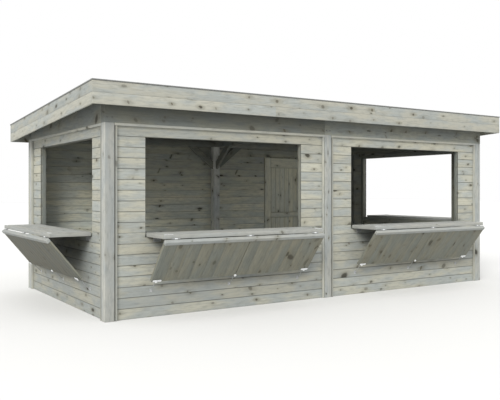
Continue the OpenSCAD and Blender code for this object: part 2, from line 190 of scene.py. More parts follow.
class Stack:
    """Boards, bars, plates and turned parts that make up one finished piece."""

    def __init__(self, seed):
        self.rng = np.random.default_rng(seed)
        self.points, self.grain, self.marks = [], [], []
        self.corners, self.sizes = [], []
        self.count = 0

    def skin(self, rings, grain, marks):
        """Closed skin over n outlines of k points each, rings[n, k, 3]: a quad between
        neighbouring points of neighbouring rings, and the first and last ring as end faces."""
        n, k = rings.shape[:2]
        ring = np.arange(n - 1)[:, None] * k
        here = np.arange(k)[None, :]
        following = (here + 1) % k
        quads = np.stack([ring + here, ring + following, ring + k + following, ring + k + here], -1)
        ends = np.concatenate([np.arange(k)[::-1], (n - 1) * k + np.arange(k)])
        self.corners.append(np.concatenate([quads.reshape(-1), ends]) + self.count)
        self.sizes.append(np.concatenate([np.full((n - 1) * k, 4), [k, k]]))
        self.points.append(rings.reshape(-1, 3))
        self.grain.append(grain.reshape(-1, 3))
        self.marks.append(np.broadcast_to(marks, (n, k, 3)).reshape(-1, 3))
        self.count += n * k

    def luck(self, tone=None, tint=None):
        """Tone and tint of one board, from 0 to 1, and where its grain starts."""
        draw = self.rng.random(6)
        tone = draw[0] if tone is None else tone
        tint = draw[1] if tint is None else tint
        shift = np.array([draw[2] * 37.0, (draw[3] - 0.5) * 0.13, 0.016 + 0.105 * draw[4]])
        return tone, tint, shift

    def cover(self, lay, s, u, v, grain, tone, tint, dirt):
        """Skin over the points P = origin + s along + u across + v out, taken the other way
        round where the three axes are left-handed, so that it faces outwards."""
        origin, along, across, out = lay
        points = origin + s[..., None] * along + u[..., None] * across + v[..., None] * out
        marks = np.empty(s.shape + (3,))
        marks[..., 0] = tone
        marks[..., 1] = tint
        marks[..., 2] = dirt
        if np.dot(np.cross(across, out), along) < 0:
            points, grain, marks = points[:, ::-1], grain[:, ::-1], marks[:, ::-1]
        self.skin(points, grain, marks)

    def carry(self, lay, outline, stops, insets, dirt=0.0, tone=None, tint=None):
        """Outline (u, v) carried along s: P = origin + s along + u across + v out, drawn in by
        insets[i] at stops[i]."""
        tone, tint, shift = self.luck(tone, tint)
        middle = (outline.min(axis=0) + outline.max(axis=0)) / 2
        half = (outline.max(axis=0) - outline.min(axis=0)) / 2
        shrink = 1 - np.asarray(insets, float)[:, None] / half[None, :]
        rings = middle + (outline[None] - middle) * shrink[:, None, :]
        s = np.broadcast_to(np.asarray(stops, float)[:, None], rings.shape[:2])
        wide, thin = (0, 1) if half[0] >= half[1] else (1, 0)
        grain = np.stack([s, rings[..., wide] - middle[wide], rings[..., thin] - middle[thin]], -1)
        self.cover(lay, s, rings[..., 0], rings[..., 1], grain + shift, tone, tint, dirt)

    def board(self, lay, outline, start, end, ease=0.0012, **kind):
        """Outline carried from start to end, drawn in a little at both ends."""
        reach = np.sign(end - start) * ease
        self.carry(lay, outline, [start, start + reach, end - reach, end], [ease, 0, 0, ease], **kind)

    def bar(self, lay, u, v, s, ease=0.002, steps=2, corner_shade_and_dirt=(0, 0, 0, 0), edges=0.0, **kind):
        """Straight bar of rectangular section with rounded edges. The soil argument darkens its four
        corners, as painted shade beside the posts and along the strip under a leg's rail, and as darker
        lap edges on the felt; edges adds sin(pi t) of painted shade round each corner."""
        dirt = np.repeat(np.asarray(corner_shade_and_dirt, float), steps + 1)
        dirt += np.tile(edges * np.sin(np.linspace(0, np.pi, steps + 1)), 4)
        self.board(lay, eased(rectangle(*u, *v), ease, steps), s[0], s[1], ease * 0.7, dirt=dirt, **kind)

    def plate(self, lay, outline, depth, ease=0.001, dirt=0.0, tone=None, tint=None):
        """Flat outline (u, v) with thickness from depth[0] to depth[1] along s, and both
        faces drawn in by the ease; an inward corner keeps its shape."""
        tone, tint, shift = self.luck(tone, tint)
        stops = np.array([depth[0], depth[0] + ease, depth[1] - ease, depth[1]])
        thin = inset(outline, ease)
        rings = np.stack([thin, outline, outline, thin])
        s = np.broadcast_to(stops[:, None], rings.shape[:2])
        u, v = rings[..., 0], rings[..., 1]
        middle = (outline.min(axis=0) + outline.max(axis=0)) / 2
        grain = np.stack([u, v - middle[1], s], -1)
        self.cover(lay, s, u, v, grain + shift, tone, tint, dirt)

    def turned(self, lay, profile, sides=16, tone=None, tint=None):
        """Profile (s, r) turned about the along axis:
        P = origin + s along + r (cos f across + sin f out)."""
        origin, along, across, out = lay
        tone, tint, shift = self.luck(tone, tint)
        profile = np.asarray(profile, float)
        angle = np.linspace(0, 2 * np.pi, sides, endpoint=False)[None, :]
        if np.dot(np.cross(across, out), along) < 0:
            angle = -angle
        s = np.broadcast_to(profile[:, :1], (len(profile), sides))
        u = profile[:, 1:] * np.cos(angle)
        v = profile[:, 1:] * np.sin(angle)
        points = origin + s[..., None] * along + u[..., None] * across + v[..., None] * out
        self.skin(points, np.stack([s, u, v], -1) + shift, (tone, tint, 0.0))

    def rod(self, path, radius, guide, sides=10, tone=None, tint=None):
        """Circle carried along a path: P = path(t) + r (cos f side + sin f other), with the side
        square to the path's direction there and to the guide, and the other square to both."""
        path = np.asarray(path, float)
        tone, tint, shift = self.luck(tone, tint)
        heading = np.gradient(path, axis=0)
        heading /= np.linalg.norm(heading, axis=1)[:, None]
        side = np.cross(heading, guide)
        side /= np.linalg.norm(side, axis=1)[:, None]
        other = np.cross(heading, side)
        angle = np.linspace(0, 2 * np.pi, sides, endpoint=False)[None, :, None]
        radius = np.broadcast_to(np.asarray(radius, float), len(path))[:, None, None]
        rings = path[:, None] + radius * (np.cos(angle) * side[:, None] + np.sin(angle) * other[:, None])
        self.skin(rings, rings + shift, (tone, tint, 0.0))

    def finish(self, name, body, slot, material, stands_for=()):
        """Makes the mesh, gives it its material and hangs it on its body."""
        points = np.concatenate(self.points)
        corners = np.concatenate(self.corners).astype(np.int32)
        sizes = np.concatenate(self.sizes).astype(np.int32)
        mesh = bpy.data.meshes.new(name)
        mesh.vertices.add(len(points))
        mesh.vertices.foreach_set("co", points.ravel().astype(np.float32))
        mesh.loops.add(len(corners))
        mesh.loops.foreach_set("vertex_index", corners)
        mesh.polygons.add(len(sizes))
        mesh.polygons.foreach_set("loop_start", (np.cumsum(sizes) - sizes).astype(np.int32))
        mesh.polygons.foreach_set("loop_total", sizes)
        mesh.polygons.foreach_set("use_smooth", np.ones(len(sizes), bool))
        for label, values in (("grain", self.grain), ("marks", self.marks)):
            layer = mesh.attributes.new(label, "FLOAT_VECTOR", "POINT")
            layer.data.foreach_set("vector", np.concatenate(values).ravel().astype(np.float32))
        mesh.update(calc_edges=True)
        mesh.validate()
        mesh.set_sharp_from_angle(angle=math.radians(32))
        mesh.materials.append(material)
        piece = bpy.data.objects.new(name, mesh)
        bpy.context.scene.collection.objects.link(piece)
        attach(piece, body)
        if stands_for:
            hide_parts(*stands_for)
        return piece


# ---------------------------------------------------------------- finishes

class Recipe:
    """Short way of writing a material's nodes."""

    def __init__(self, name):
        self.material = bpy.data.materials.new(name)
        self.material.use_nodes = True
        self.tree = self.material.node_tree
        self.tree.nodes.clear()
        self.out = self.node("ShaderNodeOutputMaterial")

    def node(self, kind, **settings):
        """A new node with its settings."""
        made = self.tree.nodes.new(kind)
        for key, value in settings.items():
            setattr(made, key, value)
        return made

    def feed(self, socket, value):
        """Links another node's output to a socket, or sets a plain value on it."""
        if isinstance(value, bpy.types.NodeSocket):
            self.tree.links.new(value, socket)
        else:
            socket.default_value = value

    def math(self, operation, *values):
        """One number from up to three."""
        made = self.node("ShaderNodeMath", operation=operation)
        for socket, value in zip(made.inputs, values):
            self.feed(socket, value)
        return made.outputs[0]

    def times(self, first, second):
        """First times second."""
        return self.math("MULTIPLY", first, second)

    def plus(self, first, second):
        """First plus second."""
        return self.math("ADD", first, second)

    def less(self, first, second):
        """First less second."""
        return self.math("SUBTRACT", first, second)

    def over(self, first, second):
        """First over second."""
        return self.math("DIVIDE", first, second)

    def line(self, value, slope, start):
        """Start plus slope times the value."""
        return self.math("MULTIPLY_ADD", value, slope, start)

    def vector(self, operation, *values):
        """One vector, or a length, from up to two."""
        made = self.node("ShaderNodeVectorMath", operation=operation)
        for socket, value in zip(made.inputs, values):
            self.feed(socket, value)
        return made.outputs["Value" if operation == "LENGTH" else "Vector"]

    def attribute(self, name):
        """The piece's own attribute of that name."""
        return self.node("ShaderNodeAttribute", attribute_name=name).outputs["Vector"]

    def parts(self, value):
        """The three parts of a vector or a colour."""
        made = self.node("ShaderNodeSeparateXYZ")
        self.feed(made.inputs[0], value)
        return made.outputs

    def grey(self, value):
        """A grey of that value."""
        made = self.node("ShaderNodeCombineColor")
        for socket in made.inputs:
            self.feed(socket, value)
        return made.outputs[0]

    def pair(self, first, second):
        """A place on a flat sheet."""
        made = self.node("ShaderNodeCombineXYZ")
        self.feed(made.inputs[0], first)
        self.feed(made.inputs[1], second)
        return made.outputs[0]

    def noise(self, place, scale=1.0, detail=2.0, rough=0.5):
        """Soft noise about 0.5."""
        made = self.node("ShaderNodeTexNoise")
        self.feed(made.inputs["Vector"], place)
        self.feed(made.inputs["Scale"], scale)
        self.feed(made.inputs["Detail"], detail)
        self.feed(made.inputs["Roughness"], rough)
        return made.outputs["Fac"]

    def drawn(self, place, rates, detail=2.0, rough=0.5):
        """Soft noise about 0.5, drawn out along the axes that have a low rate."""
        return self.noise(self.vector("MULTIPLY", place, rates), 1.0, detail, rough)

    def wash(self, colour, mask, low, high, share, over):
        """The colour with another laid over it, up to a share, where the mask passes from low
        to high."""
        return self.blend(self.times(self.ramp(mask, low, high), share), colour, over)

    def ramp(self, value, low, high, start=0.0, end=1.0):
        """Smooth step of value from low to high."""
        made = self.node("ShaderNodeMapRange", interpolation_type="SMOOTHSTEP")
        for socket, number in zip(made.inputs, (value, low, high, start, end)):
            self.feed(socket, number)
        return made.outputs[0]

    def blend(self, share, first, second, mode="MIX"):
        """The first colour with a share of the second mixed in, or multiplied by it."""
        made = self.node("ShaderNodeMix", data_type="RGBA", blend_type=mode)
        self.feed(made.inputs[0], share)
        for socket, colour in ((made.inputs[6], first), (made.inputs[7], second)):
            plain = isinstance(colour, tuple)
            self.feed(socket, (*colour, 1.0) if plain else colour)
        return made.outputs[2]

    def surface(self, colour, rough, height, depth, strength=1.0, **plain):
        """Principled surface with bump; plain values go straight onto its sockets."""
        shader = self.node("ShaderNodeBsdfPrincipled")
        self.feed(shader.inputs["Base Color"], colour)
        self.feed(shader.inputs["Roughness"], rough)
        for key, value in plain.items():
            shader.inputs[key.replace("_", " ")].default_value = value
        bump = self.node("ShaderNodeBump")
        self.feed(bump.inputs["Strength"], strength)
        self.feed(bump.inputs["Distance"], depth)
        self.feed(bump.inputs["Height"], height)
        self.tree.links.new(bump.outputs[0], shader.inputs["Normal"])
        self.tree.links.new(shader.outputs[0], self.out.inputs["Surface"])
        return self.material


def pine(name, warm, cool, knots=0.6, depth=0.0012, ring_share=0.30, streak=0.35, big=1.0):
    """Pressure-treated pine going grey. The grain attribute holds length, width and depth from the heart
    of the log: growth rings are sin(1500 r) bent by noise, knots sit in a scattered grid of cells, a whorl
    apart along the log and part of a turn apart round it, and the marks attribute gives each board its
    tone, tint and darkening, which is joint dirt and also painted shade beside posts, under rails, under
    the eaves and high inside the back wall."""
    r = Recipe(name)
    place = r.attribute("grain")
    length, width, heart = r.parts(place)
    tone, tint, dirt = r.parts(r.attribute("marks"))

    slow = r.drawn(place, (1.6, 9.0, 9.0))
    fibre = r.drawn(place, (5.0, 260.0, 260.0), 3.0, 0.6)
    streaks = r.drawn(place, (1.3, 46.0, 46.0), 3.0, 0.6)
    patch = r.drawn(place, (2.1, 7.0, 7.0), 3.0, 0.55)
    mottle = r.drawn(place, (9.0, 38.0, 38.0), 4.0, 0.65)

    radius = r.math("SQRT", r.plus(r.times(width, width), r.times(heart, heart)))
    angle = r.math("ARCTAN2", heart, width)
    climb = r.less(length, r.times(radius, 0.5))
    whorl, swing_of_cell, ring_rate = 0.36, 0.95, 1500.0
    flat = r.pair(r.times(climb, 1 / whorl), r.times(angle, 1 / swing_of_cell))
    spots = r.node("ShaderNodeTexVoronoi", voronoi_dimensions="2D")
    r.feed(spots.inputs["Vector"], flat)
    r.feed(spots.inputs["Scale"], 1.0)
    r.feed(spots.inputs["Randomness"], 0.85)
    cell = r.vector("SUBTRACT", flat, spots.outputs["Position"])
    apart, swing, _ = r.parts(cell)
    aside = r.times(r.math("SINE", r.times(swing, swing_of_cell)), radius)
    chance, girth, darkness = r.parts(spots.outputs["Color"])
    stretch = r.line(darkness, 0.30, 0.14)
    away = r.pair(r.times(apart, stretch), aside)
    rag = r.drawn(place, (75.0, 75.0, 75.0), 3.0, 0.6)
    reach = r.plus(r.vector("LENGTH", away), r.times(r.less(rag, 0.5), 0.012))
    size = r.plus(r.times(r.math("POWER", girth, 1.4), 0.016), 0.0060)
    size = r.times(size, big)
    near = r.over(reach, size)
    there = r.math("GREATER_THAN", chance, 1 - knots)
    firm = r.line(r.less(chance, 1 - knots), 0.62 / knots, 0.36)
    there = r.times(there, firm)
    core = r.times(there, r.ramp(near, 1.25, 0.6))
    stretched = r.pair(r.times(apart, 0.14), aside)
    fringe = r.over(r.plus(r.vector("LENGTH", stretched), r.times(rag, 0.006)), size)
    halo = r.times(there, r.ramp(fringe, 2.9, 0.6))

    turn = r.plus(r.times(radius, ring_rate), r.times(slow, 34.0))
    turn = r.plus(turn, r.times(halo, 9.0))
    rings = r.math("POWER", r.line(r.math("SINE", turn), 0.5, 0.5), 2.2)

    mixed = r.plus(r.times(r.ramp(patch, 0.38, 0.62), 0.72), r.times(tint, 0.28))
    colour = r.blend(mixed, cool, warm)
    shade = r.plus(r.times(tone, 0.20), 0.87)
    colour = r.blend(1.0, colour, r.grey(shade), "MULTIPLY")
    late = tuple(0.52 * w + 0.05 * c for w, c in zip(warm, cool))
    colour = r.blend(r.times(rings, ring_share), colour, late)
    for mask, low, high, share, level in ((streaks, 0.50, 0.75, streak, 0.62),
                                          (fibre, 0.5, 0.8, 0.25, 0.70),
                                          (mottle, 0.42, 0.75, 0.42, 0.52)):
        colour = r.wash(colour, mask, low, high, share, tuple(level * c for c in cool))
    colour = r.blend(r.times(halo, 0.55), colour, (0.125, 0.118, 0.085))
    heartwood = r.blend(darkness, (0.032, 0.030, 0.022), (0.095, 0.085, 0.060))
    colour = r.blend(core, colour, heartwood)
    # Darkening from the marks attribute: joint dirt, and painted shade where parts meet, under the eaves
    # and high inside the back wall.
    colour = r.blend(r.times(dirt, 0.72), colour, (0.055, 0.058, 0.050))

    rough = r.plus(0.66, r.times(fibre, 0.2))
    height = r.plus(r.times(fibre, 0.55), r.times(rings, 0.35))
    height = r.less(height, r.times(core, 0.5))
    return r.surface(colour, rough, height, depth, 0.5, Specular_IOR_Level=0.25)


def galvanised(name):
    """Dull zinc: crystal patches a centimetre across, fine scratches and white bloom."""
    r = Recipe(name)
    place = r.attribute("grain")
    crystals = r.node("ShaderNodeTexVoronoi")
    r.feed(crystals.inputs["Vector"], place)
    r.feed(crystals.inputs["Scale"], 95.0)
    flakes = r.parts(crystals.outputs["Color"])[0]
    bloom = r.noise(place, 60.0, 3.0, 0.6)
    scratch = r.drawn(place, (40.0, 900.0, 900.0))
    colour = r.blend(flakes, (0.66, 0.68, 0.69), (0.84, 0.85, 0.86))
    colour = r.blend(r.ramp(bloom, 0.5, 0.75), colour, (0.88, 0.89, 0.89))
    dull = r.blend(flakes, (0.20, 0.21, 0.21), (0.30, 0.31, 0.31))
    colour = r.blend(r.parts(r.attribute("marks"))[0], dull, colour)
    rough = r.plus(0.34, r.times(bloom, 0.25))
    height = r.plus(scratch, r.times(flakes, 0.5))
    return r.surface(colour, rough, height, 0.0003, 0.4, Metallic=0.45)


def mineral_felt(name, base):
    """Roofing felt: slate grains two millimetres across over slow stains."""
    r = Recipe(name)
    place = r.attribute("grain")
    slate = r.noise(place, 620.0, 2.0, 0.7)
    stain = r.drawn(place, (1.4, 3.0, 3.0), 4.0, 0.6)
    tone, _, dirt = r.parts(r.attribute("marks"))
    colour = r.blend(r.ramp(slate, 0.3, 0.7), tuple(0.62 * c for c in base), tuple(1.35 * c for c in base))
    colour = r.blend(1.0, colour, r.grey(r.line(tone, 0.4, 0.8)), "MULTIPLY")
    colour = r.wash(colour, stain, 0.45, 0.7, 0.35, (0.20, 0.21, 0.19))
    runs = r.drawn(place, (9.0, 0.7, 1.0), 3.0, 0.6)
    colour = r.wash(colour, runs, 0.5, 0.75, 0.30, (0.055, 0.057, 0.052))
    colour = r.blend(r.times(dirt, 0.8), colour, (0.035, 0.036, 0.034))
    return r.surface(colour, r.plus(0.82, r.times(slate, 0.12)), slate, 0.0015, 0.8)


def dark_steel(name):
    """Sunk screw heads and bolt plugs, gone dull."""
    r = Recipe(name)
    bloom = r.noise(r.attribute("grain"), 300.0, 2.0)
    colour = r.blend(bloom, (0.05, 0.05, 0.048), (0.16, 0.16, 0.15))
    return r.surface(colour, 0.6, bloom, 0.0002, 0.4, Metallic=0.3)


BOARDS = pine("treated_boards", (0.390, 0.378, 0.305), (0.292, 0.315, 0.306))
# Back-wall boards: a brighter copy of the boards, painted light for the dim inside of the stall; the outer
# face is toned back down where they are built.
BRIGHTENED_BACK_BOARDS = pine("treated_back_boards_painted_light", (0.600, 0.585, 0.450), (0.430, 0.465, 0.435),
                    knots=0.4, streak=0.6)
POSTS = pine("treated_posts", (0.318, 0.318, 0.288), (0.258, 0.276, 0.272), big=0.7)
TRIM = pine("treated_trim", (0.400, 0.395, 0.335), (0.340, 0.355, 0.335), knots=0.2, streak=0.15)
FASCIA = pine("treated_fascia", (0.378, 0.366, 0.305), (0.298, 0.320, 0.310), knots=0.7, big=1.1)
# Roof timber: a darkened copy of the timber, painted shade under the eaves and inside the stall.
SHADED_ROOF_TIMBER = pine("sawn_roof_timber_painted_shade", (0.205, 0.206, 0.165), (0.160, 0.176, 0.168), depth=0.002)
COUNTERS = pine("treated_counters", (0.318, 0.318, 0.290), (0.292, 0.308, 0.300), knots=0.35, big=0.7)
LEGS = pine("treated_leg_boards", (0.215, 0.205, 0.155), (0.172, 0.184, 0.162), streak=0.55, big=1.3)
# Door boards: a brighter copy, painted light for the door's dim inner face; the outer face is toned back
# down where they are built.
BRIGHTENED_DOOR = pine("treated_door_painted_light", (0.660, 0.640, 0.490), (0.540, 0.565, 0.500), knots=0.4, streak=0.6)
ZINC = galvanised("galvanised_iron")
FELT = mineral_felt("slated_felt", (0.115, 0.118, 0.116))
EDGE = mineral_felt("felt_edge_trim", (0.17, 0.175, 0.17))
PLUGS = dark_steel("dull_bolt_heads")


# ---------------------------------------------------------------- places on the walls

def wall_lay(side):
    """Origin on the ground under the counter's hinge, along the wall, and outwards."""
    joint = JOINTS[side + "_counter_hinge"]
    origin = np.array(joint["pos_m"], float) * (1, 1, 0)
    along = np.array(joint["axis"], float)
    return origin, along, np.cross(UP, along)


def flat_board(side):
    """Lay of a board that runs along a wall: s along, u up, v outwards."""
    origin, along, out = wall_lay(side)
    return origin, along, UP, out


def upright(side):
    """Lay of an upright on a wall: s up, u along, v outwards."""
    origin, along, out = wall_lay(side)
    return origin, UP, along, out


def bay_of(side):
    """Clear width between the posts of a wall."""
    return FRONT_BAY if side.startswith("front") else SIDE_BAY


# ---------------------------------------------------------------- posts

def build_post(name, seed, tone):
    """Square section with 12 mm rounded edges, carried up from the ground to the header. The face towards
    -X is paler and warmer: painted light on the side the sun falls on."""
    low, high = span(name)
    stack = Stack(seed)
    centre = spot((low[0] + high[0]) / 2, (low[1] + high[1]) / 2)
    half = POST / 2
    outline = eased(rectangle(-half, half, -half, half), 0.012, 5)
    # Painted light: the -X face gets a higher tone and warmer tint.
    lit_face = np.where(outline[:, 0] < 0.003 - half, 1.0, 0.0)
    stack.board((centre, UP, EAST, NORTH), outline, 0.0, high[2], 0.002,
                tone=tone + 1.25 * lit_face, tint=0.2 + 0.5 * lit_face)
    stack.finish(name + "_timber", "stall", "posts", POSTS, [name])


# Tone of each post. The back centre post's 4.5 is painted light: its face is made bright as if lit through
# the hatches.
POST_TONES_AND_PAINTED_LIGHT = {"front_left_post": 0.42, "front_centre_post": 0.9, "front_right_post": 1.0,
              "back_left_post": 0.6, "back_centre_post": 4.5, "back_right_post": 0.5}
for number, (post_name, post_tone) in enumerate(POST_TONES_AND_PAINTED_LIGHT.items()):
    build_post(post_name, 100 + number, post_tone)


# ---------------------------------------------------------------- hatch panels

def notched_course(half, hatch, low, top, sill):
    """The course that the opening's sill cuts into: a long board with a step at each side."""
    return np.array([(-half, low), (half, low), (half, top), (hatch, top), (hatch, sill),
                     (-hatch, sill), (-hatch, top), (-half, top)])


def build_panel(side, seed):
    """Courses of tongue-and-groove board, 115 mm each, cut round the opening, on a light frame."""
    half = bay_of(side) / 2
    lay = flat_board(side)
    stack = Stack(seed)
    section, dirt = board_section(COURSE, SKIN)
    full = int(APRON_TOP // COURSE)
    total = int(round(HATCH_HEAD / COURSE))
    for course in range(full):
        # Lower courses darker and cooler towards the ground.
        ground_darkening = 0.45 * (1 - course / full)
        stack.board(lay, section + (course * COURSE, 0), -half, half, dirt=dirt,
                    tone=stack.rng.random() - ground_darkening, tint=stack.rng.random() * (1 - 2 * ground_darkening))
    origin, along, up, out = lay
    outline = notched_course(half, HATCH_HALF, full * COURSE, (full + 1) * COURSE, APRON_TOP)
    stack.plate((origin, -out, along, up), outline, (0, SKIN), 0.003)
    for course in range(full + 1, total):
        for low, high in ((-half, -HATCH_HALF), (HATCH_HALF, half)):
            stack.board(lay, section + (course * COURSE, 0), low, high, dirt=dirt)
    stack.board(lay, section + (total * COURSE, 0), -half, half, dirt=dirt)
    rest, rest_dirt = board_section(WALL_H - (total + 1) * COURSE - 0.007, SKIN)
    stack.board(lay, rest + ((total + 1) * COURSE, 0), -half, half, dirt=rest_dirt)
    stack.finish(side + "_wall_boards", "stall", "boards", BOARDS, [side + "_panel"])


def build_panel_frame(side, seed):
    """Studs, plates and the lining boards of the opening, behind the boards of a panel."""
    half = bay_of(side) / 2
    depth = (-PANEL_T, -SKIN)
    liner = 0.018
    edge = HATCH_HALF + liner
    post_lay, rail_lay = upright(side), flat_board(side)
    stack = Stack(seed)
    for sign in (-1, 1):
        stack.bar(post_lay, either(sign, half, half - STUD), depth, (STUD, WALL_H - STUD))
        stack.bar(post_lay, either(sign, edge, edge + STUD), depth, (STUD, WALL_H - STUD))
        stack.bar(post_lay, either(sign, HATCH_HALF, edge), depth, (APRON_TOP - liner, HATCH_HEAD + liner),
                  tone=0.75)
    stack.bar(rail_lay, (0, STUD), depth, (-half, half))
    stack.bar(rail_lay, (WALL_H - STUD, WALL_H), depth, (-half, half))
    stack.bar(rail_lay, (HATCH_HEAD, HATCH_HEAD + liner), depth, (-HATCH_HALF, HATCH_HALF), tone=0.6)
    stack.bar(rail_lay, (HATCH_HEAD + liner, HATCH_HEAD + liner + STUD), depth, (-edge, edge))
    stack.bar(rail_lay, (APRON_TOP - liner, APRON_TOP), depth, (-HATCH_HALF, HATCH_HALF), tone=0.7)
    stack.bar(rail_lay, (APRON_TOP - liner - STUD, APRON_TOP - liner), depth, (-edge, edge))
    stack.bar(rail_lay, (APRON_TOP, APRON_TOP + 0.026), (-PANEL_T, -FLAP_T - SIDE_GAP),
              (-HATCH_HALF, HATCH_HALF), 0.004, tone=0.8)
    for x in np.linspace(-HATCH_HALF, HATCH_HALF, 5)[1:-1]:
        stack.bar(post_lay, (x - STUD / 2, x + STUD / 2), depth, (STUD, APRON_TOP - liner - STUD))
    stack.finish(side + "_wall_frame", "stall", "roof_timber", SHADED_ROOF_TIMBER)


def build_battens():
    """A batten up each side of every panel and one under the header, with rounded edges. The edge of each
    side batten next to its post is darkened as painted shade in the gap.
    """
    width = 0.028
    stack = Stack(260)
    for side in SIDES:
        half = bay_of(side) / 2
        for sign in (-1, 1):
            # Painted shade: the two corners of the batten next to the post are darkened.
            corner_shade_and_dirt = (0.9, 0, 0, 0.9) if sign < 0 else (0, 0.9, 0.9, 0)
            stack.bar(upright(side), either(sign, half - 0.004, half - width), (0.0, RECESS),
                      (0.0, WALL_H - width - 0.001), 0.004, corner_shade_and_dirt=corner_shade_and_dirt)
        stack.bar(flat_board(side), (WALL_H - width, WALL_H), (0.0, RECESS), (-half, half), 0.003)
    stack.finish("panel_trim", "stall", "trim", TRIM, ["panel_battens"])


for number, side_name in enumerate(SIDES):
    build_panel(side_name, 200 + number)
    build_panel_frame(side_name, 220 + number)
build_battens()


# ---------------------------------------------------------------- counters and leg panels

# Tone of each side's leg boards, painted light and shade: the left leg much darker as if in shade, the
# others near even.
LEG_PAINTED_LIGHT_AND_SHADE = {"front_left": 0.20, "front_right": 0.10, "left": -1.5, "right": 0.1}


def build_leaf(side, part, lay, first, last, seed):
    """A counter or a leg panel in its own plane: s along the wall, u from the hinge, v from the
    outer skin (0) to the inner face. Both have tongue-and-groove boards on the outer face. A
    counter has a rail on all four edges and three planks; a leg panel has a heavier rail at its
    hinge, and boards a little below it that run to the foot."""
    origin, along, across, out = lay
    counter = part == "counter"
    body = side + "_" + part
    skin = 0.018
    slim = 0.020
    rail = slim if counter else 0.044
    sunk = 0.0 if counter else 0.007
    across_wall = (-FLAP_HALF, FLAP_HALF)
    between = (slim - FLAP_HALF, FLAP_HALF - slim)
    stack, rim, shell = Stack(seed), Stack(seed + 50), Stack(seed + 80)
    down_lay = (origin, across, along, out)
    foot = rim if counter else stack
    low_face = FLAP_T if counter else skin
    rim.bar(lay, (first, first + rail), (0, FLAP_T), across_wall, 0.006, 4, tone=0.5, tint=0.0)
    foot.bar(lay, (last - slim, last), (0, low_face), across_wall, 0.003, tone=0.4)
    near, far = first + rail, last - slim
    for sign in (1, -1):
        foot.bar(down_lay, either(sign, FLAP_HALF - slim, FLAP_HALF), (0, low_face), (near, far), 0.003,
                 tone=0.4)
    courses = max(1, int(round((far - near) / COURSE)))
    pitch = (far - near) / courses
    section, dirt = board_section(pitch, skin)
    flip = section * (1, -1)
    for course in range(courses):
        outline = (flip + (near + course * pitch, 0))[::-1]
        shell.board(lay, outline, *between, dirt=dirt[::-1])
    if counter:
        planks = 3
        width = (far - near) / planks
        for low in np.linspace(near, far, planks + 1)[:-1]:
            stack.bar(lay, (low + 0.0004, low + width - 0.0004), (skin, FLAP_T), between, 0.0015,
                      tone=1.8 + 0.6 * stack.rng.random(), tint=0.8)
    else:
        shade = LEG_PAINTED_LIGHT_AND_SHADE[side]
        boards = 14
        joint, middle_joint = 0.0003, 0.003
        edges = np.linspace(-FLAP_HALF, FLAP_HALF, boards + 1)
        for number, (left, right) in enumerate(zip(edges[:-1], edges[1:])):
            left = left + (middle_joint if number == boards // 2 else joint)
            right = right - (middle_joint if number == boards // 2 - 1 else joint)
            stack.bar(down_lay, (left, right), (skin, FLAP_T - sunk), (near, last), 0.0028,
                      tone=shade + 0.2 * stack.rng.random(), tint=0.9 * stack.rng.random() ** 2)
        # A thin strip just under the rail, darkened all round: painted shade in the gap below the rail.
        stack.bar(lay, (near, near + 0.005), (skin, FLAP_T - sunk + 0.0004), across_wall, 0.001,
                  corner_shade_and_dirt=(1, 1, 1, 1))
    rim.finish(body + "_rim", body, "counters", COUNTERS)
    shell.finish(body + "_outer_boards", body, "counters", BOARDS)
    stack.finish(body + "_boards", body, "counters", COUNTERS if counter else LEGS, [body])


def counter_lay(side):
    """Plane of a counter: u outwards from the hinge axis, v up from its underside."""
    origin, along, out = wall_lay(side)
    return origin + PIVOT_Z * UP, along, out, UP


def leg_lay(side):
    """Plane of a leg panel: u down its slope from the fold axis, v towards its boarded face."""
    origin, along, out = wall_lay(side)
    fold = origin + PIVOT_Z * UP + FOLD_Y * out
    down = -math.cos(LEG_SLOPE) * out - math.sin(LEG_SLOPE) * UP
    face = math.sin(LEG_SLOPE) * out - math.cos(LEG_SLOPE) * UP
    return fold, along, down, face


COUNTER_EDGE = HINGE_GAP + COUNTER_D
for number, side_name in enumerate(SIDES):
    build_leaf(side_name, "counter", counter_lay(side_name), HINGE_GAP, COUNTER_EDGE, 300 + number)
    build_leaf(side_name, "leg", leg_lay(side_name), FOLD_GAP / 2, LEG_END, 320 + number)


# ---------------------------------------------------------------- ironwork

PIN_R = 0.004
KNUCKLE_R = 0.007
IRON_T = 0.004
HINGE_W = 0.090
KNUCKLE_HALF = HINGE_W / 6
KNUCKLE_GAP = 0.0005
LEAF_L = 0.060
HINGE_INSET = 0.130
HOOK_INSET = 0.055
HINGE_XS = (-FLAP_HALF + HINGE_INSET, 0.0, FLAP_HALF - HINGE_INSET)
HOOK_XS = (-FLAP_HALF + HOOK_INSET, 0.0, FLAP_HALF - HOOK_INSET)


def screw_head(stack, at, normal, radius=0.0045, height=0.0016):
    """A domed head turned about its normal: r falls as the height rises by a quarter circle."""
    normal = np.asarray(normal, float)
    guide = EAST if abs(normal[0]) < 0.9 else NORTH
    across = np.cross(normal, guide)
    across /= np.linalg.norm(across)
    angle = np.linspace(0, np.pi / 2 * 0.93, 5)
    profile = np.stack([height * np.sin(angle), radius * np.cos(angle)], 1)
    profile = np.vstack([[-0.0005, radius], profile])
    stack.turned((np.asarray(at, float), normal, across, np.cross(normal, across)), profile, 12)


def knuckle(stack, lay, low, high, tone=0.1):
    """A short barrel with a slight chamfer at both ends, along the lay's first axis."""
    lip = 0.0006
    radius = KNUCKLE_R
    profile = [(low, radius - lip), (low + lip, radius), (high - lip, radius), (high, radius - lip)]
    stack.turned(lay, profile, 20, tone=tone)


def pin(stack, lay, half):
    """A hinge pin with tapered ends: its radius r falls to 0.8 r over the last millimetre."""
    end = half + 0.001
    profile = [(-end, PIN_R * 0.8), (-half, PIN_R), (half, PIN_R), (end, PIN_R * 0.8)]
    stack.turned(lay, profile)


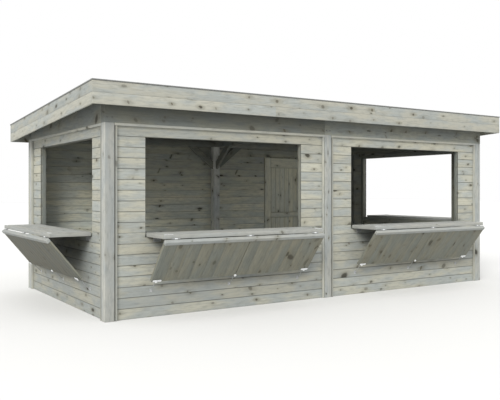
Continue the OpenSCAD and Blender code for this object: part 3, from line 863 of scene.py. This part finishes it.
def hinge_half(stack, origin, along, away, normal, pinned):
    """One half of a butt hinge about an axis: a plate that lies along away and faces normal,
    three screws, and either the two outer knuckles with the pin or the middle one."""
    lay = (origin, along, away, normal)
    plate_lay = (origin, normal, along, away)
    low, high = -IRON_T, 0.0
    outline = eased(rectangle(-HINGE_W / 2, HINGE_W / 2, 0.012, LEAF_L), 0.004, 3)
    stack.plate(plate_lay, outline, (low, high), 0.0006, tone=0.25)
    if pinned:
        pin(stack, lay, HINGE_W / 2)
    outer = ((-HINGE_W / 2, -KNUCKLE_HALF - KNUCKLE_GAP), (KNUCKLE_HALF + KNUCKLE_GAP, HINGE_W / 2))
    for x0, x1 in (outer if pinned else ((-KNUCKLE_HALF, KNUCKLE_HALF),)):
        knuckle(stack, lay, x0, x1, 0.1 if pinned else 0.9)
        web = rectangle(x0, x1, PIN_R + 0.001, 0.014)
        stack.plate(plate_lay, web, (low, high), 0.0005, tone=0.2)
    for x, y in ((-0.032, 0.046), (0.0, 0.028), (0.032, 0.046)):
        screw_head(stack, origin + x * along + y * away + low * normal, -normal)


def corner_strap(stack, origin, along, across, normal, x_outer, y_outer, sign):
    """A flat strap with round ends and three screws near one corner of a leaf."""
    length, width, thick = 0.100, 0.026, 0.003
    lay = (origin, normal, along * sign, across)
    end, edge = x_outer - 0.010, y_outer - 0.008
    outline = eased(rectangle(end - length, end, edge - width, edge), 0.009, 4)
    stack.plate(lay, outline, (0.0, thick), 0.0006, tone=1.0)
    for offset in (0.018, 0.050, 0.082):
        at = origin + sign * (end - offset) * along + (edge - width / 2) * across + thick * normal
        screw_head(stack, at, normal)


def build_irons(side):
    """Hinges, straps and studs of one counter and its leg panel, and the parts on the wall."""
    origin, along, out = wall_lay(side)
    axis = origin + PIVOT_Z * UP
    fold, _, down, face = leg_lay(side)

    counter = Stack(400)
    leg = Stack(410)
    for x in HINGE_XS:
        hinge_half(counter, axis + x * along, along, out, UP, pinned=False)
        hinge_half(counter, fold + x * along, along, -out, UP, pinned=True)
        hinge_half(leg, fold + x * along, along, down, face, pinned=False)
    for sign in (-1, 1):
        corner_strap(counter, origin + COUNTER_TOP * UP, along, out, UP, FLAP_HALF, COUNTER_EDGE, sign)
        corner_strap(leg, fold + FLAP_T * face, along, down, face, FLAP_HALF, LEG_END, sign)
    for x in HOOK_XS:
        base = fold + x * along + LEG_END * down + FLAP_T / 2 * face
        lay = (base, down, along, face)
        leg.turned(lay, [(-0.001, 0.013), (0.0015, 0.013), (0.0030, 0.008), (0.0035, 0.003),
                         (0.010, 0.003), (0.0105, 0.0022)], 16, tone=1.0)
        cap = fold + x * along + (LEG_END - 0.004) * down + FLAP_T * face
        leg.turned((cap, face, along, -down), [(-0.008, 0.015), (0.0010, 0.015), (0.0026, 0.013),
                                               (0.0036, 0.008), (0.0040, 0.002)], 20, tone=1.0)
    counter.finish(side + "_counter_hinges", side + "_counter", "zinc", ZINC, [side + "_counter_irons"])
    leg.finish(side + "_leg_hinges", side + "_leg", "zinc", ZINC, [side + "_leg_irons"])


def build_wall_hinges():
    """The fixed halves of the counters' hinges, screwed to the face of the boards."""
    stack = Stack(420)
    for side in SIDES:
        origin, along, out = wall_lay(side)
        axis = origin + PIVOT_Z * UP
        for x in HINGE_XS:
            hinge_half(stack, axis + x * along, along, -UP, -out, pinned=True)
    stack.finish("wall_hinge_plates", "stall", "zinc", ZINC, ["counter_hinge_pins"])


def build_hooks():
    """Cabin hooks: a plate and an eye on the wall, and a rod that rises to the leg's stud."""
    stack = Stack(430)
    rod_r = 0.0035
    eye_y = 0.014
    eye_drop = 0.109
    short = 0.030
    stud_u = LEG_END + 0.010
    for side in SIDES:
        origin, along, out = wall_lay(side)
        fold, _, down, face = leg_lay(side)
        stud = fold + stud_u * down + FLAP_T / 2 * face - origin
        stud_y, stud_z = np.dot(stud, out), stud[2]
        eye_z = stud_z - eye_drop
        rise = np.array([stud_y - eye_y, eye_drop])
        distance = np.linalg.norm(rise)
        rise /= distance
        for x in HOOK_XS:
            base = origin + x * along + eye_z * UP
            outline = eased(rectangle(-0.018, 0.018, -0.020, 0.020), 0.006, 3)
            stack.plate((base, out, -along, UP), outline, (0.0, 0.003), 0.0006, tone=0.15)
            for dz in (-0.013, 0.013):
                screw_head(stack, base + dz * UP + 0.003 * out, out, 0.0035)
            stack.turned((base, out, along, UP), [(0.002, 0.007), (0.004, 0.005), (0.007, 0.004),
                                                  (0.009, 0.004)], 12)
            turn = np.linspace(0, 2 * np.pi, 25)[:, None]
            ring = base + eye_y * out + 0.0055 * (np.cos(turn) * along + np.sin(turn) * UP)
            stack.rod(ring, 0.0017, out, 8)
            t = np.linspace(0, 1, 18)[:, None]
            reach = distance - short
            bend = 0.010 * np.clip((t - 0.80) / 0.20, 0, 1) ** 2
            straight = rise[0] * out + rise[1] * UP
            square = rise[1] * out - rise[0] * UP
            path = base + eye_y * out + t * reach * straight - bend * square
            stack.rod(path, rod_r, along, 10, tone=0.1)
    stack.finish("wall_hooks", "stall", "zinc", ZINC, ["cabin_hooks"])


for side_name in SIDES:
    build_irons(side_name)
build_wall_hinges()
build_hooks()


# ---------------------------------------------------------------- back wall and door

DOOR_LOW, DOOR_HIGH = span("door_leaf")
DOOR_LAP = 0.020
DOOR_X0 = DOOR_LOW[0] + DOOR_LAP
DOOR_X1 = DOOR_HIGH[0] - DOOR_LAP
DOOR_HEAD = HATCH_HEAD
DOOR_FACE = DOOR_HIGH[1]
DOOR_BOARD_T = 0.020
CASING_LOW, CASING_HIGH = span("door_casing")


def build_back_wall():
    """Courses of board on the outside of the back posts, cut either side of the doorway."""
    stack = Stack(500)
    top = BACK_HIGH[2]
    lay = (spot(y=BACK_Y), EAST, UP, NORTH)
    section, dirt = board_section(COURSE, BACK_T, back=0.003)
    total = int(round(DOOR_HEAD / COURSE))
    full = int(top // COURSE)
    # The inner face is painted light, lighter towards the floor, and painted shade, darker towards the
    # roof; the outer face is toned down from the brightened material.
    inside = section[:, 1] < -0.9 * BACK_T
    outer_face_toned_down = np.where(section[:, 1] > -0.2 * BACK_T, -1.1, 0.0)
    for course in range(full):
        outer = section + (course * COURSE, 0)
        painted_shade_and_dirt = np.where(inside, 0.9 * (course / full) ** 2.4, dirt)
        tone = outer_face_toned_down + np.where(inside, 1.4 * (1 - course / full), 0.0) + stack.rng.random()
        if course < total:
            for low, high in ((-HALF_L, DOOR_X0), (DOOR_X1, HALF_L)):
                stack.board(lay, outer, low, high, dirt=painted_shade_and_dirt, tone=tone)
        else:
            stack.board(lay, outer, -HALF_L, HALF_L, dirt=painted_shade_and_dirt, tone=tone)
    rest, rest_dirt = board_section(top - full * COURSE - 0.007, BACK_T)
    stack.board(lay, rest + (full * COURSE, 0), -HALF_L, HALF_L, dirt=rest_dirt)
    stack.finish("back_wall_boards", "stall", "boards", BRIGHTENED_BACK_BOARDS, ["back_wall"])


def build_casing():
    """Two uprights and a head board round the doorway."""
    stack = Stack(510)
    width = 0.095
    lay_up = (spot(y=BACK_Y), UP, EAST, NORTH)
    lay_flat = (spot(y=BACK_Y), EAST, UP, NORTH)
    depth = (0.0, DOOR_FACE - BACK_Y)
    head = CASING_HIGH[2] - width
    for low in (CASING_LOW[0], CASING_HIGH[0] - width):
        stack.bar(lay_up, (low, low + width), depth, (0.0, head - 0.001), 0.003)
    stack.bar(lay_flat, (head, head + width), depth, (CASING_LOW[0], CASING_HIGH[0]), 0.003)
    stack.finish("door_casing_boards", "stall", "trim", TRIM, ["door_casing"])


def build_door():
    """Upright boards outside, stiles and three rails inside."""
    stack = Stack(520)
    face_lay = (spot(y=DOOR_FACE), UP, EAST, NORTH)
    rail_lay = (spot(y=DOOR_FACE), EAST, UP, NORTH)
    width = DOOR_HIGH[0] - DOOR_LOW[0]
    boards = int(round(width / 0.095))
    pitch = width / boards
    section, dirt = board_section(pitch, DOOR_BOARD_T, back=0.003)
    # The door's material is brightened as painted light for its inner face; the outer face of the boards
    # is toned back down.
    outer_face_toned_down = np.where(section[:, 1] > -0.2 * DOOR_BOARD_T, -1.5, 0.0)
    for board in range(boards):
        outline = section + (DOOR_LOW[0] + board * pitch, 0)
        if board == boards - 1:
            outline = np.minimum(outline, (DOOR_HIGH[0], 1.0))
        stack.board(face_lay, outline, DOOR_LOW[2], DOOR_HIGH[2], dirt=dirt,
                    tone=outer_face_toned_down + stack.rng.random())
    stile = 0.120
    x0, x1 = DOOR_X0 + 0.008, DOOR_X1 - 0.008
    depth = (DOOR_LOW[1] - DOOR_FACE, -DOOR_BOARD_T - LAY)
    low, top = DOOR_LOW[2], DOOR_HEAD - 0.008
    for left, right in ((x0, x0 + stile), (x1 - stile, x1)):
        stack.bar(face_lay, (left, right), depth, (low, top), 0.004, tint=0.1)
    # edges=1.0 paints shade lines along the rails' edges.
    for bottom, high in ((low, low + stile), (0.900, 0.990), (1.770, top)):
        stack.bar(rail_lay, (bottom, high), depth, (x0 + stile + 0.001, x1 - stile - 0.001), 0.008, 4,
                  edges=1.0, tone=0.3, tint=0.1)
    stack.finish("door_boards", "door", "door", BRIGHTENED_DOOR, ["door_leaf"])


def build_door_irons():
    """Three strap hinges and a pull handle on the door, and their fixed plates on the casing.
    The pull is a bow: it stands off the door by h sqrt(1 - |2t - 1|^6)."""
    axis = np.array(JOINTS["door_hinge"]["pos_m"], float) * (1, 1, 0)
    plate_y = DOOR_FACE - axis[1]
    strap_l, strap_h = 0.350, 0.036
    half = strap_h / 2
    plate_half = 0.042
    moving, fixed = Stack(530), Stack(540)
    for z in (0.330, 1.080, 1.730):
        base = axis + z * UP
        lay = (base, UP, EAST, NORTH)
        knuckle(moving, lay, -half, half)
        outline = np.array([(-PIN_R - 0.001, -half), (-PIN_R - 0.001, half), (-strap_l * 0.35, half),
                            (-strap_l + 0.03, half * 0.62), (-strap_l, half * 0.45),
                            (-strap_l, -half * 0.45), (-strap_l + 0.03, -half * 0.62),
                            (-strap_l * 0.35, -half)])
        moving.plate((base, NORTH, -EAST, UP), outline * (-1, 1), (plate_y, plate_y + IRON_T), 0.0006)
        for x in (-0.035, -0.110, -0.205, -0.310):
            screw_head(moving, base + x * EAST + (plate_y + IRON_T) * NORTH, NORTH, 0.006, 0.0025)
        pin(fixed, lay, plate_half)
        for sign in (-1, 1):
            ends = either(sign, half + KNUCKLE_GAP, plate_half)
            knuckle(fixed, lay, *ends)
            web = rectangle(-0.014, 0.0, *ends)
            fixed.plate((base, NORTH, -EAST, UP), web, (plate_y, plate_y + IRON_T), 0.0005)
        outline = eased(rectangle(-0.060, -0.010, -plate_half, plate_half), 0.005, 3)
        fixed.plate((base, NORTH, -EAST, UP), outline, (plate_y, plate_y + IRON_T), 0.0006)
        for x, dz in ((0.022, 0.028), (0.022, -0.028), (0.048, 0.014), (0.048, -0.014)):
            screw_head(fixed, base + x * EAST + dz * UP + (plate_y + IRON_T) * NORTH, NORTH)
    grip = np.array([DOOR_X0 + 0.045, DOOR_FACE, 1.0])
    t = np.linspace(0, 1, 14)[:, None]
    bow = 0.040 * np.sqrt(np.clip(1 - np.abs(2 * t - 1) ** 6, 0, 1))
    moving.rod(grip + (t - 0.5) * 0.150 * UP + bow * NORTH, 0.007, EAST, 12)
    for z in (-0.078, 0.078):
        outline = eased(rectangle(-0.014, 0.014, -0.016, 0.016), 0.005, 3)
        moving.plate((grip + z * UP, NORTH, -EAST, UP), outline, (0.0, 0.003), 0.0006)
    moving.finish("door_ironwork", "door", "zinc", ZINC, ["door_irons"])
    fixed.finish("door_hinge_plates", "stall", "zinc", ZINC, ["door_hinge_pins"])


build_back_wall()
build_casing()
build_door()
build_door_irons()


# ---------------------------------------------------------------- roof frame

DOWN_SLOPE = NORTH - ROOF_TAN * UP
BACK_POST_Y = BACK_Y - BACK_T - POST
CROSSWISE = (np.zeros(3), EAST, NORTH, UP)
RAFTER_XS = np.linspace(-1, 1, RAFTER_COUNT) * (ROOF_HALF - FASCIA_T - RAFTER_T / 2)


def roof_lay(x=0.0):
    """A lay that follows the roof's slope: s back along Y, u along X, v straight up from the
    top surface."""
    return spot(x, 0.0, roof_z(0.0)), DOWN_SLOPE, EAST, UP


def sloping(y0, y1, low0, low1, down):
    """Outline (y, z) whose top follows the roof at a distance down from its surface."""
    return np.array([(y0, low0), (y1, low1), (y1, roof_z(y1, down)), (y0, roof_z(y0, down))])


def build_headers():
    """A deep header over each row of posts, with blocks between the rafters, and headers over
    the end walls. Front and back headers: outline (y, z) with a sloping top carried along X."""
    under = RAFTER_LOW + 0.001
    # Header tops darkened: painted shade under the eaves.
    painted_shade_and_dirt = np.repeat((0.0, 0.0, 1.0, 1.0), 4)
    for name, y0, split, seed in (("front_header", FRONT_Y, -0.055, 600),
                                  ("back_header", BACK_POST_Y, 0.0, 610)):
        stack = Stack(seed)
        y1 = y0 + POST
        outline = eased(sloping(y0, y1, WALL_H, WALL_H, under), 0.004, 3)
        stack.board(CROSSWISE, outline, -HALF_L, split, 0.002, tint=0.2, dirt=painted_shade_and_dirt)
        stack.board(CROSSWISE, outline, split + 0.001, HALF_L, 0.002, tone=2.2, tint=0.35,
                    dirt=0.7 * painted_shade_and_dirt)
        foot = under - 0.0005
        block = eased(sloping(y0, y1, roof_z(y0, foot), roof_z(y1, foot), RAFTER_TOP), 0.003, 2)
        clear = RAFTER_T / 2 + 0.001
        edges = [-HALF_L] + [x for x in RAFTER_XS if abs(x) < HALF_L] + [HALF_L]
        for left, right in zip(edges[:-1], edges[1:]):
            start = left + (0 if left == -HALF_L else clear)
            end = right - (0 if right == HALF_L else clear)
            stack.board(CROSSWISE, block, start, end, 0.002, tint=0.2)
        stack.finish(name + "_timber", "stall", "roof_timber", SHADED_ROOF_TIMBER, [name])
    stack = Stack(620)
    outline = sloping(FRONT_Y + POST, BACK_POST_Y, WALL_H, WALL_H, RAFTER_TOP)
    for x in (-HALF_L, HALF_L - POST):
        stack.plate((spot(x), EAST, NORTH, UP), outline, (0.0, POST), 0.004, tint=0.2)
    stack.finish("end_header_timber", "stall", "roof_timber", SHADED_ROOF_TIMBER, ["side_headers"])


def build_beam_and_braces():
    """The beam over the middle of the room and the three braces at the back centre post."""
    low, high = span("centre_beam")
    stack = Stack(630)
    stack.bar((spot(), NORTH, EAST, UP), (low[0], high[0]), (low[2], high[2]), (low[1], high[1]), 0.004)
    stack.finish("centre_beam_timber", "stall", "roof_timber", SHADED_ROOF_TIMBER, ["centre_beam"])
    stack = Stack(640)
    foot, reach, width = 1.730, 0.500, 0.095
    start = POST / 2
    slope = math.atan2(WALL_H - foot, reach - start)
    outline = np.array([(start, foot), (reach, WALL_H), (reach - width / math.sin(slope), WALL_H),
                        (start, foot + width / math.cos(slope))])
    centre = spot(y=BACK_POST_Y + POST / 2)
    t = RAFTER_T / 2
    for heading, normal in ((EAST, NORTH), (-EAST, NORTH), (-NORTH, EAST)):
        stack.plate((centre, normal, heading, UP), outline, (-t, t), 0.003, tone=0.3)
    stack.finish("knee_brace_timber", "stall", "roof_timber", SHADED_ROOF_TIMBER, ["knee_braces"])


def build_rafters():
    """Rafters along the slope, rectangular with eased edges."""
    stack = Stack(650)
    for x in RAFTER_XS:
        stack.bar(roof_lay(x), (-RAFTER_T / 2, RAFTER_T / 2), (-RAFTER_LOW, -RAFTER_TOP),
                  (ROOF_Y0 + FASCIA_T, ROOF_Y1 - FASCIA_T), 0.003)
    stack.finish("rafter_timbers", "stall", "roof_timber", SHADED_ROOF_TIMBER, ["rafters"])


def build_deck():
    """Roof boards side by side, their good faces down: each is carried along X."""
    stack = Stack(660)
    y0, y1 = ROOF_Y0 + FASCIA_T, ROOF_Y1 - FASCIA_T
    count = int(round((y1 - y0) / 0.095))
    pitch = (y1 - y0) / count
    section, dirt = board_section(pitch, DECK_T)
    section = (section * (1, -1))[::-1]
    section[:, 0] = np.minimum(section[:, 0], pitch + 0.006)
    half = ROOF_HALF - FASCIA_T
    lay = (spot(z=roof_z(0.0, DECK_TOP + DECK_T)), EAST, DOWN_SLOPE, UP)
    for board in range(count):
        outline = section + (y0 + board * pitch, 0)
        if board == count - 1:
            outline = np.minimum(outline, (y1, 1.0))
        stack.board(lay, outline, -half, half, dirt=dirt[::-1])
    stack.finish("roof_boards", "stall", "roof_timber", SHADED_ROOF_TIMBER, ["roof_deck"])


def build_felt():
    """Felt in four widths that lap each other down the slope, and a trim round the edge."""
    lay = (spot(z=roof_z(0.0)), EAST, DOWN_SLOPE, UP)
    half = FELT_HIGH[0]
    y0, y1 = FELT_LOW[1], FELT_HIGH[1]
    rim = 0.003
    lap = 0.045
    length = (-half + rim, half - rim)
    stack = Stack(670)
    stack.bar(lay, (y0 + rim, y1 - rim), (-FELT_T, -0.004), length, 0.002)
    widths = 4
    seams = np.linspace(y0 + rim, y1 - rim, widths + 1)
    for number in range(widths):
        start = seams[number] - (0.0 if number == 0 else lap)
        stack.bar(lay, (start, seams[number + 1]), (-0.0045 - 0.0003 * number, -0.0022), length, 0.001)
    for seam in seams[1:-1]:
        stack.bar(lay, (seam - lap, seam + 0.035), (-0.0030, -0.0006), length, 0.001,
                  corner_shade_and_dirt=(0.9, 0, 0, 0.9), tone=0.9)
    stack.finish("roof_felt_sheets", "stall", "felt", FELT, ["roof_felt"])
    trim = Stack(680)
    flange = 0.045
    upstand, lying = (-FELT_T, 0.0), (-0.0016, -0.0002)
    for near, far in ((y0, y0 + rim), (y1 - rim, y1)):
        trim.bar(lay, (near, far), upstand, (-half, half), 0.0008)
    for near, far in ((y0 + 0.001, y0 + flange), (y1 - flange, y1 - 0.001)):
        trim.bar(lay, (near, far), lying, (-half, half), 0.0005)
    for sign in (-1, 1):
        trim.bar(roof_lay(), either(sign, half, half - rim), upstand, (y0 + rim, y1 - rim), 0.0008)
        trim.bar(roof_lay(), either(sign, half, half - flange), lying, (y0 + flange, y1 - flange), 0.0005)
    trim.finish("roof_edge_trim", "stall", "felt", EDGE)


def build_fascias():
    """Two boards one above the other on every edge of the roof, butted in their length."""
    row = FASCIA_H / 2
    shadow = 0.0008
    for name, y0, seed in (("front_fascia", ROOF_Y0, 700), ("back_fascia", ROOF_Y1 - FASCIA_T, 710)):
        stack = Stack(seed)
        y1 = y0 + FASCIA_T
        for level, butt in ((0, 0.62), (1, -0.95)):
            top = DECK_TOP + level * row
            foot = top + row - shadow
            outline = eased(sloping(y0, y1, roof_z(y0, foot), roof_z(y1, foot), top), 0.0025, 3)
            stack.board(CROSSWISE, outline, -ROOF_HALF, butt, 0.001)
            stack.board(CROSSWISE, outline, butt + 0.0006, ROOF_HALF, 0.001)
        stack.finish(name + "_boards", "stall", "fascia", FASCIA, [name])
    stack = Stack(720)
    length = (ROOF_Y0 + FASCIA_T, ROOF_Y1 - FASCIA_T)
    for sign in (-1, 1):
        for level in (0, 1):
            top = -DECK_TOP - level * row
            stack.bar(roof_lay(), either(sign, ROOF_HALF, ROOF_HALF - FASCIA_T),
                      (top - row + shadow, top), length, 0.0025)
    stack.finish("end_fascia_boards", "stall", "fascia", FASCIA, ["side_fascias"])


def build_bolt_heads():
    """Sunk bolt heads in the header over each post, two by two."""
    stack = Stack(730)
    size = (0.009, 0.002)
    z = WALL_H + 0.055
    for x in (-HALF_L + POST / 2, 0.0, HALF_L - POST / 2):
        for aside in (-0.028, 0.028):
            screw_head(stack, (x + aside, FRONT_Y, z), -NORTH, *size)
            screw_head(stack, (x + aside, BACK_POST_Y, z), -NORTH, *size)
    for sign in (-1, 1):
        for y in (FRONT_Y + POST + 0.05, BACK_POST_Y - 0.05):
            screw_head(stack, (sign * HALF_L, y, z), sign * EAST, *size)
    stack.finish("header_bolt_heads", "stall", "zinc", PLUGS)


build_headers()
build_beam_and_braces()
build_rafters()
build_deck()
build_felt()
build_fascias()
build_bolt_heads()


# ---------------------------------------------------------------- floor, light and camera

def build_floor():
    """A plain pale floor well past the stall on every side."""
    reach = 60.0
    mesh = bpy.data.meshes.new("studio_floor")
    corners = [(-reach, -reach, 0), (reach, -reach, 0), (reach, reach, 0), (-reach, reach, 0)]
    mesh.from_pydata(corners, [], [(0, 1, 2, 3)])
    material = bpy.data.materials.new("studio_floor")
    material.use_nodes = True
    shader = material.node_tree.nodes["Principled BSDF"]
    shader.inputs["Base Color"].default_value = (0.67, 0.67, 0.665, 1.0)
    shader.inputs["Roughness"].default_value = 0.9
    mesh.materials.append(material)
    floor = bpy.data.objects.new("studio_floor", mesh)
    bpy.context.scene.collection.objects.link(floor)


def build_light():
    """An even white sky and a broad soft sun from the front left."""
    world = bpy.data.worlds.new("studio")
    world.use_nodes = True
    sky = world.node_tree.nodes["Background"]
    sky.inputs["Color"].default_value = (1.0, 1.0, 1.0, 1.0)
    sky.inputs["Strength"].default_value = 1.0
    bpy.context.scene.world = world
    sun = bpy.data.lights.new("soft_sun", "SUN")
    sun.energy = 3.3
    sun.angle = math.radians(30)
    sun.color = (1.0, 0.99, 0.96)
    lamp = bpy.data.objects.new("soft_sun", sun)
    lamp.rotation_euler = (math.radians(57), 0.0, math.radians(-46))
    bpy.context.scene.collection.objects.link(lamp)


def build_camera():
    """Level camera at eye height, off the stall's front left corner."""
    turn = 0.5957
    camera = bpy.data.cameras.new("camera")
    camera.sensor_width = 36.0
    camera.lens = 48.71
    camera.shift_x = -0.0534
    camera.shift_y = -0.0198
    camera.clip_end = 200.0
    holder = bpy.data.objects.new("camera", camera)
    holder.location = (-5.4338, -8.2363, 1.3804)
    holder.rotation_euler = (math.pi / 2, 0.0, -turn)
    bpy.context.scene.collection.objects.link(holder)
    bpy.context.scene.camera = holder


build_floor()
build_light()
build_camera()
bpy.context.scene.view_settings.view_transform = "Standard"
